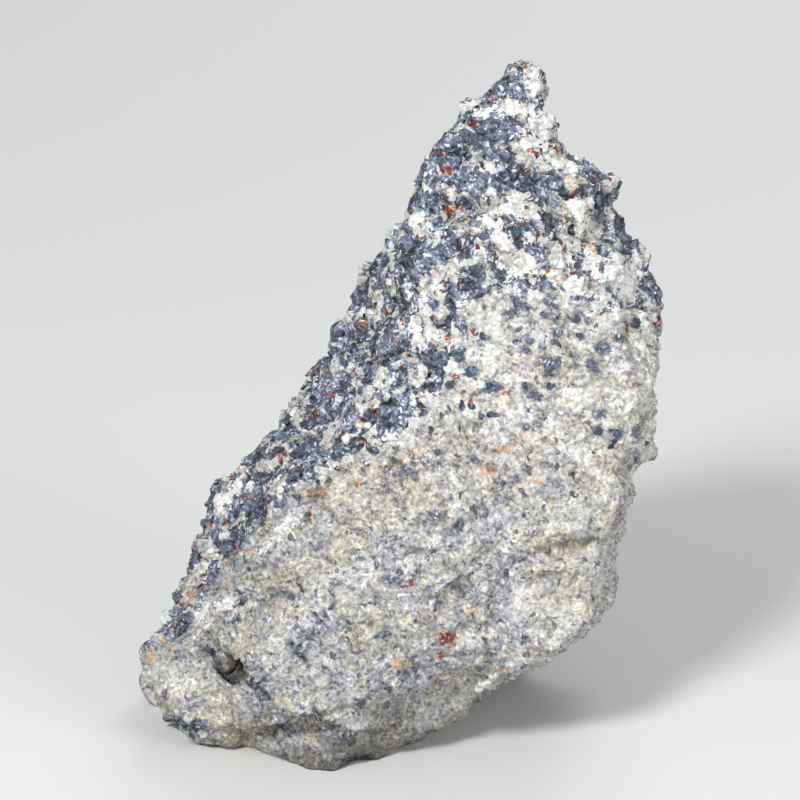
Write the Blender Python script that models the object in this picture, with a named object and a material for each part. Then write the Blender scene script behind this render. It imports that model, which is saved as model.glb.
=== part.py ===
"""A hand specimen of franklinite-willemite ore: one broken lump, about 92 mm high as it stands.

The lump is laid out as it is seen from its display side, 18 degrees above level, in three measures:
across (to the right), up (up the view) and depth (away from the eye). Level outlines are lofted into
the body, fracture facets, grains, pits and a crack are pressed into its skin, and its foot is cut level.
"""

import math

import bmesh
import bpy
import numpy as np
from mathutils import Vector, kdtree, noise

MM = 0.001
DISPLAY_TILT = math.radians(18)
SEED = 11

# Body resolution, in mm
LEVEL_COUNT = 80
POINTS_PER_SIDE = 5
SKIN_VOXEL = 0.7
SMOOTHING_PASSES = 1
SMOOTHING_FACTOR = 0.5

# Triangles of the whole skin before its foot is cut off
TRIANGLES = 9600

# The foot stands on the ground plane, and the loft goes on this far below it before it is cut
FOOT_ALLOWANCE = 14

# Each level of the body, in mm: (up, corners), and each corner is (across, depth). Corners run round the
# lump: left limb, hollow of the left face, front ridge, two on the front, right shoulder, right limb,
# and three on the back.
LEVELS = [
    (0, [(-28, 24), (-27, 13), (-20, 5), (-13, 0), (-9.5, -1),
         (-5.5, 4), (1, 15), (5, 40), (-8, 50), (-24, 44)]),
    (6, [(-34, 26), (-33, 15), (-29, 6), (-20, -1), (-8, -4),
         (6, 5), (8, 16), (7, 42), (-8, 51), (-26, 45)]),
    (12, [(-38, 24), (-38, 16), (-34, 6), (-21, -3), (-5, -6),
          (13.5, 0), (15, 9), (14, 40), (-6, 52), (-28, 45)]),
    (18, [(-36, 24), (-35, 15), (-32, 6), (-18, -4), (1, -7),
          (22.5, -1), (25, 8), (23, 36), (-4, 52), (-28, 46)]),
    (26, [(-32, 28), (-28, 15), (-25, 2), (-12, -5), (7, -6),
          (29, 1), (32, 11), (29, 35), (0, 52), (-25, 46)]),
    (38, [(-28, 34), (-23, 17), (-17, -2), (-5, -5), (12, -5),
          (30, 1), (34, 14), (31, 35), (3, 51), (-20, 48)]),
    (46, [(-21, 39), (-15, 19), (-8, -2), (2, -4), (17, -3),
          (30, 1), (36, 14), (33, 35), (8, 48), (-12, 50)]),
    (56, [(-13, 42), (-7, 22), (0, -2), (8, -3), (20, -1),
          (31, 3), (36, 15), (33, 34), (12, 46), (-4, 50)]),
    (64, [(-8, 41), (-2, 24), (3, 2), (11, 0), (21, 1),
          (31, 5), (37, 16), (32, 34), (15, 43), (0, 47)]),
    (71, [(-6, 38), (0, 24), (1, 5), (10, 2), (20, 3),
          (29, 7), (36, 17), (31, 33), (16, 40), (3, 43)]),
    (77, [(-1, 35), (0, 23), (1, 8), (9, 5), (19, 5),
          (27, 9), (33, 18), (29, 32), (16, 36), (5, 38)]),
    (86, [(4, 26), (4, 20), (3, 12), (9, 8), (17, 7),
          (24, 10), (29, 17), (26, 26), (16, 30), (8, 29)]),
    (92, [(8, 23), (7, 19), (7, 14), (11, 10), (15, 10),
          (19, 11), (21, 16), (20, 22), (15, 25), (10, 25)]),
    (97, [(12, 21), (12, 18), (12, 15), (14, 12), (17, 11),
          (19, 13), (20, 17), (19, 21), (16, 22), (14, 22)]),
    (102, [(14, 19), (14, 17), (14, 15), (15, 14), (18, 14),
           (20, 15), (20, 17), (20, 18), (18, 20), (15, 20)]),
]
CREST_UP = 101.6

# The limbs seen against the background, in mm: (up, across). They trim the levels above TRIM_FROM.
TRIM_FROM = 12
LEFT_LIMB = [
    (12, -37.5), (14, -38.2), (17, -35.4), (20, -34), (24, -31.9), (28, -31.3), (34, -30.2), (37, -29.9),
    (40, -29), (43, -25.6), (46, -21), (50, -19), (55, -16), (60, -12.6), (65, -9.8), (70, -7.2), (74, -3),
    (77, -1), (80, 1.6), (83, 2.2), (87, 4.3), (90, 6.3), (92, 8.4), (95, 9), (97, 12), (99, 14.4),
    (101.6, 15.8),
]
RIGHT_LIMB = [
    (12, 14.8), (14, 20), (17, 23.7), (20, 28.1), (22, 30.2), (27, 30.8), (31, 31.2), (34, 32.6), (37, 34.4),
    (40, 35.6), (43, 34.9), (45, 36.1), (49, 37.7), (51, 38.9), (54, 37.2), (57, 38.6), (60, 39.2),
    (63, 37.6), (67, 37.9), (71, 36.8), (75, 34.3), (80, 32.9), (81.5, 31.7), (83, 33), (86, 33),
    (87.6, 26.8), (90, 21.4), (94, 20.6), (96.5, 21.1), (98, 21.8), (99.6, 21), (101.6, 19.4),
]

# Fracture facets over the whole skin: (spacing between facets, slope against the skin, step between them)
FRACTURES = [(16, 0.15, 0.3), (7, 0.2, 0.25)]
# Broken grains of the coarse upper half and the left face, and of the fine lower front
COARSE_GRAINS = (3.8, 0.26, 0.4)
FINE_GRAINS = (3.2, 0.15, 0.15)

# The coarse rock lies above a plane. It passes this height at this place across, and falls to the right
# and, beyond the first depth, to the back. All in mm, and the falls in mm per mm.
COARSE_UP = 46
COARSE_ACROSS = 8
COARSE_FALL_RIGHT = 0.32
COARSE_FALL_BACK = 0.55
COARSE_DEPTH = 6
COARSE_DEPTH_REACH = 40
COARSE_BORDER = 5

# The box that the facets fill, in mm
FACET_BOX = [(-50, -20, -15), (50, 75, 110)]

# Width of the border between two facets, against their spacing
FACET_BORDER = 0.2

# Swells of the skin between the facets: (rise in mm, waves per mm, how many finer waves)
SWELLS = (0.3, 0.13, 3)

# Where the display side ends: the least and full turn of the skin to the eye, and depths in mm
FACING_SHARES = (0.05, 0.4)
FRONT_DEPTHS = (18, 26)

# How a pressed feature and a drawn line fade out, against their half widths
FEATURE_FADE = (0.35, 1.25)
LINE_FADE = (0.3, 1.6)

# Near the crest, over this height in mm, the relief calms down by this share
CREST_BAND = 8
CREST_CALM = 0.6

# Features of the display side, in mm: (across, up, half length, half width, turn in degrees, rise)
DISPLAY_FEATURES = [
    (-24.3, 14.2, 2.3, 1.7, -30, -3.4),
    (-12.1, 16.6, 3.2, 1.2, -42, -1.5),
    (23.5, 31.5, 5.5, 2.0, 12, -1.8),
    (26.5, 28.0, 5.0, 2.2, 10, 0.8),
    (6.0, 24.0, 7.5, 2.0, 28, -1.2),
    (1.5, 18.5, 4.5, 1.6, 15, -1.2),
    (-15.5, 12.0, 7.0, 5.5, -20, 1.5),
    (-31.5, 10.5, 4.5, 4.0, 0, 0.9),
    (2.0, 8.5, 8.0, 2.2, 6, -0.6),
    (-20.0, 29.5, 5.0, 1.6, 40, 0.9),
    (-6.0, 22.5, 5.0, 2.4, 15, 0.8),
    (21.0, 13.6, 4.6, 1.5, 24, 1.6),
    (14.5, 11.2, 3.2, 1.2, 30, 1.2),
    (9.5, 72.0, 4.6, 2.6, 10, 1.0),
    (17.5, 75.5, 3.6, 2.6, 20, 0.9),
    (12.0, 83.5, 3.0, 4.4, 25, 0.8),
    (14.5, 79.8, 2.4, 1.3, 0, -1.4),
    (22.5, 78.0, 3.0, 1.4, -35, -1.1),
    (5.5, 67.0, 1.3, 4.2, 10, -1.2),
    (-4.0, 53.0, 2.0, 7.0, -38, 0.8),
    (18.0, 55.0, 4.0, 2.4, 0, -0.8),
    (32.0, 58.5, 3.4, 3.4, 0, -0.7),
    (33.5, 47.5, 3.0, 2.6, 0, 0.9),
]

# Lines on the display side, as points (across, up), each with a half width and a rise, in mm
CRACK = [(-30.2, 19.6), (-28.0, 16.8), (-24.6, 14.6), (-21.6, 12.4), (-19.4, 9.6), (-17.6, 7.4)]
FOOT_SEAM = [(-26, 5.6), (-17, 4.0), (-11, 4.4), (-6, 6.6), (0, 8.4), (7, 9.2)]
RIDGE = [
    (-35.4, 17), (-31.9, 19.7), (-29, 22), (-24.7, 26.3), (-22.6, 31.7), (-20.3, 34.6), (-17.3, 37.9),
    (-14.3, 40), (-10, 44), (-5, 48), (-3.6, 52.6), (-1, 58), (3, 64),
]
DRAWN_LINES = [(CRACK, 0.7, -1.6), (FOOT_SEAM, 0.9, -0.6), (RIDGE, 2.4, 1.1)]

COLOUR_ORE = (0.42, 0.39, 0.33, 1)
ROUGHNESS_ORE = 0.6


def clear_scene():
    for item in list(bpy.data.objects):
        bpy.data.objects.remove(item)


def ore_material():
    material = bpy.data.materials.new("ore")
    material.use_nodes = True
    shader = material.node_tree.nodes["Principled BSDF"]
    shader.inputs["Base Color"].default_value = COLOUR_ORE
    shader.inputs["Roughness"].default_value = ROUGHNESS_ORE
    shader.inputs["Metallic"].default_value = 0.0
    return material


def to_world(points):
    """(across, up, depth) in mm, as seen from the display side, to x, y, z in mm."""
    across, up, depth = points.T
    sine, cosine = math.sin(DISPLAY_TILT), math.cos(DISPLAY_TILT)
    return np.column_stack([across, up * sine + depth * cosine, up * cosine - depth * sine])


def to_display(points):
    """x, y, z in mm to (across, up, depth)."""
    x, y, z = points.T
    sine, cosine = math.sin(DISPLAY_TILT), math.cos(DISPLAY_TILT)
    return np.column_stack([x, y * sine + z * cosine, y * cosine - z * sine])


def smooth_step(low, high, value):
    share = np.clip((value - low) / (high - low), 0, 1)
    return share * share * (3 - 2 * share)


def corners_at(up):
    """The ten corners of the level at this height, on a curve through the levels, trimmed to the limbs."""
    heights = np.array([level[0] for level in LEVELS], float)
    corners = np.array([level[1] for level in LEVELS], float)
    above = int(np.clip(np.searchsorted(heights, up), 1, len(heights) - 1))
    low, high = heights[above - 1], heights[above]
    share = np.clip((up - low) / (high - low), 0, 1)
    here = corners[above - 1] * (1 - share) + corners[above] * share
    if up >= TRIM_FROM:
        left = np.interp(up, *np.array(LEFT_LIMB).T)
        right = np.interp(up, *np.array(RIGHT_LIMB).T)
        least, most = here[:, 0].min(), here[:, 0].max()
        here[:, 0] = left + (here[:, 0] - least) * (right - left) / (most - least)
    return here


def loft_body():
    """The closed body in mm, before its skin is worked."""
    heights = np.linspace(-FOOT_ALLOWANCE, CREST_UP, LEVEL_COUNT)
    mesh = bmesh.new()
    loops = []
    for up in heights:
        corners = corners_at(up)
        following = np.roll(corners, -1, axis=0)
        loop = []
        for start, end in zip(corners, following):
            for step in range(POINTS_PER_SIDE):
                across, depth = start + (end - start) * step / POINTS_PER_SIDE
                point = to_world(np.array([[across, up, depth]]))[0]
                loop.append(mesh.verts.new(point))
        loops.append(loop)
    for lower, upper in zip(loops, loops[1:]):
        for index in range(len(lower)):
            after = (index + 1) % len(lower)
            mesh.faces.new([lower[index], lower[after], upper[after], upper[index]])
    mesh.faces.new(reversed(loops[0]))
    mesh.faces.new(loops[-1])
    bmesh.ops.triangulate(mesh, faces=[face for face in mesh.faces if len(face.verts) > 4])
    bmesh.ops.recalc_face_normals(mesh, faces=mesh.faces)
    return mesh


def remeshed(mesh, voxel):
    """The closed mesh as an even skin of small squares."""
    data = bpy.data.meshes.new("skin")
    mesh.to_mesh(data)
    mesh.free()
    holder = bpy.data.objects.new("skin", data)
    bpy.context.scene.collection.objects.link(holder)
    remesh = holder.modifiers.new("Remesh", "REMESH")
    remesh.mode = "VOXEL"
    remesh.voxel_size = voxel
    graph = bpy.context.evaluated_depsgraph_get()
    result = bpy.data.meshes.new_from_object(holder.evaluated_get(graph))
    bpy.data.objects.remove(holder)
    return result


def jittered_seeds(spacing, generator):
    """One point at a random place in each cell of a grid over the facets' box."""
    low, high = np.array(FACET_BOX, float)
    counts = np.ceil((high - low) / spacing).astype(int)
    cells = np.stack(np.meshgrid(*[np.arange(count) for count in counts], indexing="ij"), -1).reshape(-1, 3)
    return low + (cells + generator.random(cells.shape)) * spacing


def nearest_seeds(points, seeds):
    """For each point the two nearest seeds, and how far they are."""
    tree = kdtree.KDTree(len(seeds))
    for index, seed in enumerate(seeds):
        tree.insert(seed, index)
    tree.balance()
    index = np.empty((len(points), 2), int)
    distance = np.empty((len(points), 2))
    for row, point in enumerate(points):
        for column, (_, found, away) in enumerate(tree.find_n(point, 2)):
            index[row, column] = found
            distance[row, column] = away
    return index, distance


def flat_facets(points, facets, generator):
    """Rise of a skin broken into flat facets, each with a tilt and a step of its own, in mm."""
    spacing, slope, step = facets
    seeds = jittered_seeds(spacing, generator)
    tilts = generator.normal(size=seeds.shape)
    tilts *= slope / np.linalg.norm(tilts, axis=1)[:, None]
    steps = generator.uniform(-step, step, len(seeds))
    index, distance = nearest_seeds(points, seeds)
    rises = [((points - seeds[column]) * tilts[column]).sum(1) + steps[column] for column in index.T]
    share = 0.5 + 0.5 * smooth_step(0, FACET_BORDER * spacing, distance[:, 1] - distance[:, 0])
    return rises[0] * share + rises[1] * (1 - share)


def coarse_zone(display):
    """1 where the rock is coarse-grained, above the diagonal through the front, and 0 in the fine foot."""
    across, up, depth = display.T
    backward = np.clip(depth - COARSE_DEPTH, 0, COARSE_DEPTH_REACH)
    height = up - COARSE_UP + COARSE_FALL_RIGHT * (across - COARSE_ACROSS) + COARSE_FALL_BACK * backward
    return smooth_step(-COARSE_BORDER, COARSE_BORDER, height)


def swells(points):
    rise, waves, octaves = SWELLS
    return rise * np.array([noise.fractal(Vector(point) * waves, 1.0, 2.0, octaves) for point in points])


def pressed_features(display):
    """Rise of the pits, hollows, ledges and swellings of the display side, in mm."""
    rise = np.zeros(len(display))
    for across, up, half_length, half_width, turn, height in DISPLAY_FEATURES:
        cosine, sine = math.cos(math.radians(turn)), math.sin(math.radians(turn))
        right, above = display[:, 0] - across, display[:, 1] - up
        along = (right * cosine + above * sine) / half_length
        beside = (above * cosine - right * sine) / half_width
        rise += height * (1 - smooth_step(*FEATURE_FADE, np.hypot(along, beside)))
    return rise


def distance_to_line(display, line):
    """Distance across the view from each point to the drawn line, in mm."""
    away = np.full(len(display), np.inf)
    for start, end in zip(np.array(line[:-1]), np.array(line[1:])):
        span = end - start
        share = np.clip(((display[:, :2] - start) @ span) / (span @ span), 0, 1)
        away = np.minimum(away, np.linalg.norm(display[:, :2] - start - share[:, None] * span, axis=1))
    return away


def drawn_line(display, line, half_width, rise):
    inner, outer = LINE_FADE
    away = distance_to_line(display, line)
    return rise * (1 - smooth_step(inner * half_width, outer * half_width, away))


def skin_arrays(data):
    points = np.empty(len(data.vertices) * 3, np.float32)
    data.vertices.foreach_get("co", points)
    normals = np.empty(len(data.vertices) * 3, np.float32)
    data.vertices.foreach_get("normal", normals)
    return points.reshape(-1, 3).astype(float), normals.reshape(-1, 3).astype(float)


def work_skin(data):
    """Moves the skin in and out along its normals, for the facets, grains, pits and crack."""
    generator = np.random.default_rng(SEED)
    points, normals = skin_arrays(data)
    display = to_display(points)
    facing = smooth_step(*FACING_SHARES, -to_display(normals)[:, 2])
    on_front = facing * (1 - smooth_step(*FRONT_DEPTHS, display[:, 2]))
    coarse = coarse_zone(display)
    rise = swells(points)
    for facets in FRACTURES:
        rise += flat_facets(points, facets, generator)
    rise += coarse * flat_facets(points, COARSE_GRAINS, generator)
    rise += (1 - coarse) * flat_facets(points, FINE_GRAINS, generator)
    rise += on_front * pressed_features(display)
    for line, half_width, height in DRAWN_LINES:
        rise += on_front * drawn_line(display, line, half_width, height)
    crest = smooth_step(CREST_UP - CREST_BAND, CREST_UP, display[:, 1])
    rise *= 1 - CREST_CALM * crest
    data.vertices.foreach_set("co", (points + normals * rise[:, None]).astype(np.float32).ravel())
    data.update()


def smoothed(data):
    mesh = bmesh.new()
    mesh.from_mesh(data)
    for _ in range(SMOOTHING_PASSES):
        bmesh.ops.smooth_vert(
            mesh, verts=mesh.verts, factor=SMOOTHING_FACTOR,
            use_axis_x=True, use_axis_y=True, use_axis_z=True,
        )
    mesh.to_mesh(data)
    mesh.free()


def decimated(data, triangles):
    """The worked skin with fewer triangles, larger where it is flat."""
    holder = bpy.data.objects.new("worked", data)
    bpy.context.scene.collection.objects.link(holder)
    decimate = holder.modifiers.new("Decimate", "DECIMATE")
    decimate.use_collapse_triangulate = True
    data.calc_loop_triangles()
    decimate.ratio = triangles / len(data.loop_triangles)
    graph = bpy.context.evaluated_depsgraph_get()
    result = bpy.data.meshes.new_from_object(holder.evaluated_get(graph))
    bpy.data.objects.remove(holder)
    return result


def cut_foot(mesh):
    """Cuts the lump level at the ground, and closes the cut with one flat face."""
    geometry = list(mesh.verts) + list(mesh.edges) + list(mesh.faces)
    cut = bmesh.ops.bisect_plane(
        mesh, geom=geometry, plane_co=(0, 0, 0), plane_no=(0, 0, 1), clear_inner=True, dist=1e-4
    )
    rim = [item for item in cut["geom_cut"] if isinstance(item, bmesh.types.BMEdge)]
    bmesh.ops.holes_fill(mesh, edges=rim, sides=0)


def stand_on_origin(mesh):
    """Moves the lump so that the middle of its box stands on the origin, and returns the move in mm."""
    low = Vector(min(vert.co[axis] for vert in mesh.verts) for axis in range(3))
    high = Vector(max(vert.co[axis] for vert in mesh.verts) for axis in range(3))
    move = Vector((-(low.x + high.x) / 2, -(low.y + high.y) / 2, -low.z))
    bmesh.ops.translate(mesh, verts=mesh.verts, vec=move)
    return move


def ore_lump():
    skin = remeshed(loft_body(), SKIN_VOXEL)
    work_skin(skin)
    smoothed(skin)
    worked = decimated(skin, TRIANGLES)
    mesh = bmesh.new()
    mesh.from_mesh(worked)
    cut_foot(mesh)
    bmesh.ops.triangulate(mesh, faces=mesh.faces)
    bmesh.ops.recalc_face_normals(mesh, faces=mesh.faces)
    stand_on_origin(mesh)
    bmesh.ops.scale(mesh, verts=mesh.verts, vec=(MM, MM, MM))
    data = bpy.data.meshes.new("ore_lump")
    mesh.to_mesh(data)
    mesh.free()
    data.materials.append(ore_material())
    lump = bpy.data.objects.new("ore_lump", data)
    bpy.context.scene.collection.objects.link(lump)
    return lump


def main():
    clear_scene()
    ore_lump()


main()
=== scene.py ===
"""The looks of a broken hand specimen of willemite and franklinite ore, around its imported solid.

Places on the lump are given as they are seen from its display side, 18 degrees above level, in mm:
across (to the right), up (up the view) and depth (away from the eye).
"""

import math

import bpy
import bmesh
import numpy as np
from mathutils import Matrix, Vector
from mathutils.bvhtree import BVHTree


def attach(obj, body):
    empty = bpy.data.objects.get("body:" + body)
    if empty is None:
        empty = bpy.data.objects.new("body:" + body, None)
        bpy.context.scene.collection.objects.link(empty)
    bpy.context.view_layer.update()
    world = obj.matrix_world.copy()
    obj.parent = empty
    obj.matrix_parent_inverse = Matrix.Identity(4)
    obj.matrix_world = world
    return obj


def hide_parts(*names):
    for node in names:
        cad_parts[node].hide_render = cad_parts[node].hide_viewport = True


MM = 0.001
SEED = 5

# The display side: how far it is tilted, and where its zero lies in the part's frame, in mm
DISPLAY_TILT = math.radians(18)
DISPLAY_ZERO = (-0.0603, -31.0045, 0)

# The camera looks at this height of the view, in mm, from this far, and its picture is this wide there
VIEW_MIDDLE_UP = 52.57
CAMERA_DISTANCE = 800
PICTURE_WIDTH = 800 / 7
SENSOR_WIDTH = 36

# The skin: width of its squares in mm, and how its faces are shared out
SKIN_VOXEL = 0.27
SMOOTHING_PASSES = 6
SKIN_TRIANGLES = 197000
# Depth of the finest bumps, in mm
BUMP_DEPTH = 0.1


def display_axes():
    """The display side's across, up and depth directions in the part's frame, as rows."""
    sine, cosine = math.sin(DISPLAY_TILT), math.cos(DISPLAY_TILT)
    return np.array([(1, 0, 0), (0, sine, cosine), (0, cosine, -sine)])


def to_display(points):
    """Points in the part's frame, in m, to (across, up, depth) in mm."""
    return (np.asarray(points) / MM - DISPLAY_ZERO) @ display_axes().T


def to_frame(places):
    """(across, up, depth) in mm to points in the part's frame, in m."""
    return (np.asarray(places, float) @ display_axes() + DISPLAY_ZERO) * MM


def smooth_step(low, high, value):
    share = np.clip((value - low) / (high - low), 0, 1)
    return share * share * (3 - 2 * share)


def tone(red, green, blue):
    """A colour as it looks on a screen, 0 to 255, as linear light."""
    return tuple(((value / 255 + 0.055) / 1.055) ** 2.4 for value in (red, green, blue)) + (1.0,)


class Sheet:
    """Adds nodes to a shader or geometry tree. Values may be numbers, tuples or sockets."""

    def __init__(self, tree):
        self.tree = tree

    def node(self, kind, inputs=(), **settings):
        node = self.tree.nodes.new(kind)
        for name, value in settings.items():
            setattr(node, name, value)
        for key, value in dict(inputs).items():
            self.put(node.inputs[key], value)
        return node

    def put(self, socket, value):
        if isinstance(value, bpy.types.NodeSocket):
            self.tree.links.new(value, socket)
        else:
            socket.default_value = value

    def math(self, operation, first, second=0.0):
        return self.node("ShaderNodeMath", {0: first, 1: second}, operation=operation).outputs[0]

    def add(self, *values):
        total = values[0]
        for value in values[1:]:
            total = self.math("ADD", total, value)
        return total

    def times(self, first, second):
        return self.math("MULTIPLY", first, second)

    def vector(self, operation, first, second=(0, 0, 0)):
        node = self.node("ShaderNodeVectorMath", {0: first, 1: second}, operation=operation)
        return node.outputs["Value"] if operation == "DOT_PRODUCT" else node.outputs["Vector"]

    def scaled(self, vector, factor):
        node = self.node("ShaderNodeVectorMath", {0: vector, "Scale": factor}, operation="SCALE")
        return node.outputs["Vector"]

    def step(self, low, high, value, start=0.0, end=1.0):
        """A soft step from start to end as the value goes from low to high."""
        inputs = {"Value": value, "From Min": low, "From Max": high, "To Min": start, "To Max": end}
        return self.node("ShaderNodeMapRange", inputs, interpolation_type="SMOOTHSTEP").outputs["Result"]

    def mix(self, share, first, second):
        return self.node("ShaderNodeMix", {0: share, 2: first, 3: second}, data_type="FLOAT").outputs[0]

    def mix_colour(self, share, first, second, blend="MIX"):
        inputs = {0: share, 6: first, 7: second}
        return self.node("ShaderNodeMix", inputs, data_type="RGBA", blend_type=blend).outputs[2]

    def noise(self, place, size, detail=2.0, roughness=0.5):
        """Fractal noise whose largest swells are this wide, in mm: (value, colour)."""
        inputs = {"Vector": place, "Scale": 1 / size, "Detail": detail, "Roughness": roughness}
        node = self.node("ShaderNodeTexNoise", inputs)
        return node.outputs[0], node.outputs[1]

    def ripple(self, place, size, detail, roughness):
        """Fractal noise around 0."""
        return self.math("SUBTRACT", self.noise(place, size, detail, roughness)[0], 0.5)

    def cells(self, place, size):
        """Grains this wide, in mm: (distance to the middle, random colour, middle)."""
        node = self.node("ShaderNodeTexVoronoi", {"Vector": place, "Scale": 1 / size}, feature="F1")
        return node.outputs["Distance"], node.outputs["Color"], node.outputs["Position"]

    def parts(self, vector):
        return self.node("ShaderNodeSeparateXYZ", {0: vector}).outputs[:3]

    def centred(self, colour):
        return self.vector("SUBTRACT", colour, (0.5, 0.5, 0.5))

    def bent(self, place, size, amount, detail=1.0):
        """The place, shifted by noise, so that straight borders turn ragged."""
        shift = self.centred(self.noise(place, size, detail)[1])
        return self.vector("ADD", place, self.scaled(shift, amount))

    def facet(self, place, cell, slope):
        """Height of a flat facet through each grain's middle, tilted by its random colour, in mm."""
        away = self.vector("SUBTRACT", place, cell["middle"])
        return self.times(self.vector("DOT_PRODUCT", away, self.centred(cell["colour"])), slope)

    def bumped(self, height, **inputs):
        """The normal with fine bumps of this height on it."""
        inputs = {"Strength": 0.6, "Distance": BUMP_DEPTH * MM, "Height": height, **inputs}
        return self.node("ShaderNodeBump", inputs).outputs[0]

    def ramp(self, value, stops):
        """A colour ramp through (position, colour) stops."""
        node = self.node("ShaderNodeValToRGB", {0: value})
        elements = node.color_ramp.elements
        while len(elements) < len(stops):
            elements.new(0.5)
        for element, (position, colour) in zip(elements, stops):
            element.position = position
            element.color = colour
        return node.outputs[0]


# Widths of the grains, in mm
GRAIN_SIZES = {"coarse": 2.9, "medium": 1.45, "small": 0.8, "fine": 0.4}


def grain_pattern(sheet, place, lean):
    """The grains at each place. The shader and the displacement both call it, so that they agree."""
    bent = sheet.bent(sheet.bent(place, 2.6, 1.5), 0.6, 0.4)
    grains = {"bent": bent}
    for name, size in GRAIN_SIZES.items():
        distance, colour, middle = sheet.cells(bent, size)
        grains[name] = {"distance": distance, "colour": colour, "middle": middle}
    grains["drift"] = sheet.parts(sheet.centred(sheet.noise(place, 8.0, 3.0)[1]))
    grains["ragged"] = sheet.ripple(place, 1.6, 3.0, 0.65)
    # How much the coarse rock tends to willemite here
    coarse_chance = sheet.times(sheet.parts(grains["coarse"]["colour"])[0], 0.7)
    medium_chance = sheet.times(sheet.parts(grains["medium"]["colour"])[0], 0.3)
    grains["pale_share"] = sheet.add(coarse_chance, medium_chance, sheet.times(grains["drift"][0], 0.6),
                                     sheet.times(grains["ragged"], 0.9), lean)
    return grains


# Where the kinds of rock meet on the display side, as points (across, up) in mm

COARSE_EDGE = [
    (-40, 12), (-35.7, 16.9), (-28, 25.5), (-21, 33.5), (-15.7, 39.7), (-7.9, 44), (0, 47.5), (5.7, 52.5),
    (7.2, 59.5), (7.4, 65), (14.3, 68.8), (22.9, 68), (30, 65), (38, 61),
]
MIDDLE_EDGE = [(-12, 41), (-8.6, 42.2), (2.9, 46.5), (11.4, 47.2), (22.9, 45), (31, 39), (38, 36)]
# At the lower left tip the fine rock reaches this much further back, in mm. The tip fades in between these
# places across, over the first of these heights and up to the second
TIP_REACH = 22
TIP_ACROSS = (-34, -29)
TIP_FOOT = (5, 8.5)
TIP_TOP = (15, 19)
# The front's marks fade where the skin turns from the eye, and where it lies this deep, in mm
FRONT_FACING = (-0.3, 0.1)
FRONT_DEPTH = (34, 48)
# The rock is coarse behind this depth at one place across, and behind a greater one to the right, in mm
COARSE_DEPTH = 16
COARSE_ACROSS = -10
COARSE_SLANT = 0.25
# Its field grows by this share of the height over its edge. The part that lies behind the fine rock ends far
# below the edge, by this slope and this reach in mm
EDGE_SHARE = 0.8
BACK_SLOPE = 0.3
BACK_REACH = 14
# The fields that say how far a place is from the border of its rock stop at this distance, in mm
FIELD_LIMIT = 6
# A soft area fades out between these shares of its size
AREA_FADE = (0.4, 1.5)
# The painted shade of the underside is darkest below the first of these heights, in mm, and none is left
# above the second. Both climb to the right by this slope
PAINTED_SHADE_UP = (1, 12)
PAINTED_SHADE_SLANT = 0.28
# Between these places across, in mm, the painted shade loses this share
PAINTED_SHADE_ENDS = (-6, 4)
PAINTED_SHADE_LOSS = 0.6

# Landmarks of the display side, in mm: (across, up, half length, half width, turn in degrees)
PALE_PATCHES = [
    (19.5, 97.9, 1.3, 1.9, 0), (16.4, 95.1, 3.1, 1.4, -12), (20.2, 92, 2, 1.6, 0),
    (19, 89.9, 1.7, 1.3, 0), (11.7, 94.4, 1.3, 0.9, 0), (10.1, 95.3, 2.2, 0.5, 40),
    (12.1, 85.7, 0.9, 0.4, 10), (3.4, 84.1, 0.4, 1.4, -10), (21, 80.2, 0.9, 0.6, 0),
    (17.1, 80.1, 2.6, 1.7, -10), (12.6, 78.4, 1.1, 0.7, 0), (27, 80.9, 1, 0.9, 0),
    (26.2, 77.3, 1.1, 1, -40), (14.6, 75.4, 1.3, 2.1, 40), (18.6, 75.6, 1.1, 0.7, 15),
    (18.8, 72.1, 2.3, 0.7, -50), (17.3, 71, 2, 0.9, 20), (23.4, 73.1, 1.7, 1.1, 0),
    (27.6, 72.7, 0.9, 1.7, 10), (30.6, 71.2, 1.3, 1.1, 0), (32.7, 69, 2, 1.9, 0),
    (34.7, 70.9, 1.1, 0.6, 0), (31.4, 65, 0.9, 0.9, 0), (2.6, 60.9, 1.1, 1.3, 0),
    (2.3, 63, 0.9, 2.6, 10), (-2, 54.9, 2, 0.5, 35), (4.3, 52.6, 1.4, 1.1, 20),
    (-6.1, 65.4, 0.7, 1.7, -35), (-1.4, 47.1, 0.8, 0.8, 0), (-5.6, 48.9, 0.6, 1, -15),
    (-9.8, 48.9, 2, 0.5, 55), (-15.6, 50.4, 1, 1.3, 0), (-24.9, 38.8, 3.4, 0.9, 43),
    (-26.7, 37.6, 0.8, 1.8, -10), (-18.9, 40.6, 2.2, 0.6, 20), (-20.4, 44, 0.7, 0.7, 0),
    (-22.3, 34, 0.8, 0.8, 0), (-17.5, 33.6, 3.6, 0.8, 44), (-24.8, 23.4, 2.2, 0.9, 35),
    (-22.6, 31.6, 1.1, 0.4, 50), (-27.7, 30.1, 1.4, 0.6, 20), (-28.6, 22, 2.2, 1.1, 40),
    (19.5, 13.2, 4.2, 0.9, 24), (11.9, 11.9, 2.4, 0.6, 32), (-6.3, 6.6, 3.5, 1.3, -5),
]
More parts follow.
